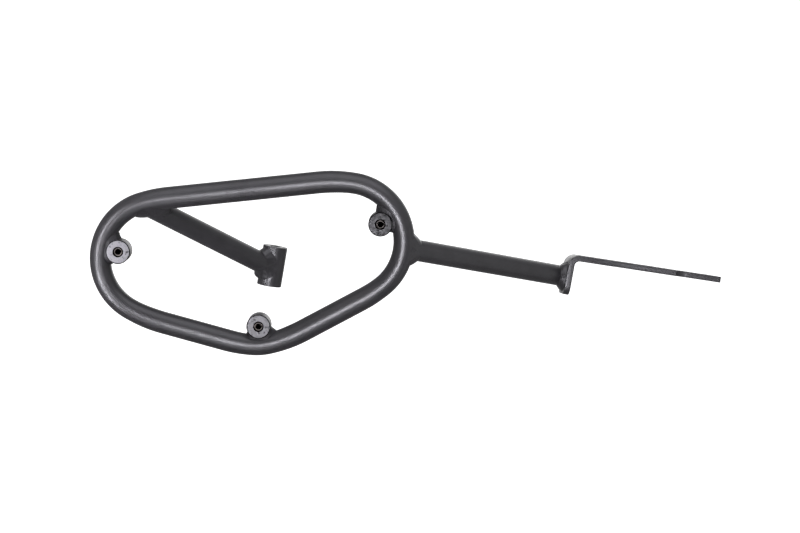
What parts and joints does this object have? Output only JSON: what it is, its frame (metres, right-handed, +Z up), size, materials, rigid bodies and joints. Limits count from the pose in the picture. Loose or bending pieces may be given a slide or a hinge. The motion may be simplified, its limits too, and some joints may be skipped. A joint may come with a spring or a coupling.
{
  "type": "pannier frame",
  "caption": "Welded tube pannier frame for one side of a motorbike: a bent loop with tapped bosses, a stay to a bolt sleeve and a stay to a bent flat bracket.",
  "frame": {"origin": "middle of the mounting sleeve's bore", "axes": "+X to the rear along the bike, +Y inwards to the bike, +Z up along the sleeve's bolt; the loop's plane faces outwards, to -Y"},
  "size_m": [0.5218, 0.1408, 0.1613],
  "materials": {
    "powder_coat": "satin black fine-textured powder coat",
    "weld_coat": "satin black powder coat over rippled weld beads",
    "boss_steel": "turned steel face, masked from the coating, with coated sides"
  },
  "bodies": {
    "root": {"loop_tube": "powder_coat", "front_boss": "boss_steel", "lower_boss": "boss_steel", "rear_boss": "boss_steel", "front_stay": "powder_coat", "rear_stay": "powder_coat", "mounting_sleeve": "powder_coat", "mounting_bracket": "powder_coat", "front_stay_weld": "weld_coat", "rear_stay_weld": "weld_coat", "sleeve_weld": "weld_coat", "bracket_weld": "weld_coat", "front_boss_weld": "weld_coat", "lower_boss_weld": "weld_coat", "rear_boss_weld": "weld_coat"}
  },
  "joints": []
}
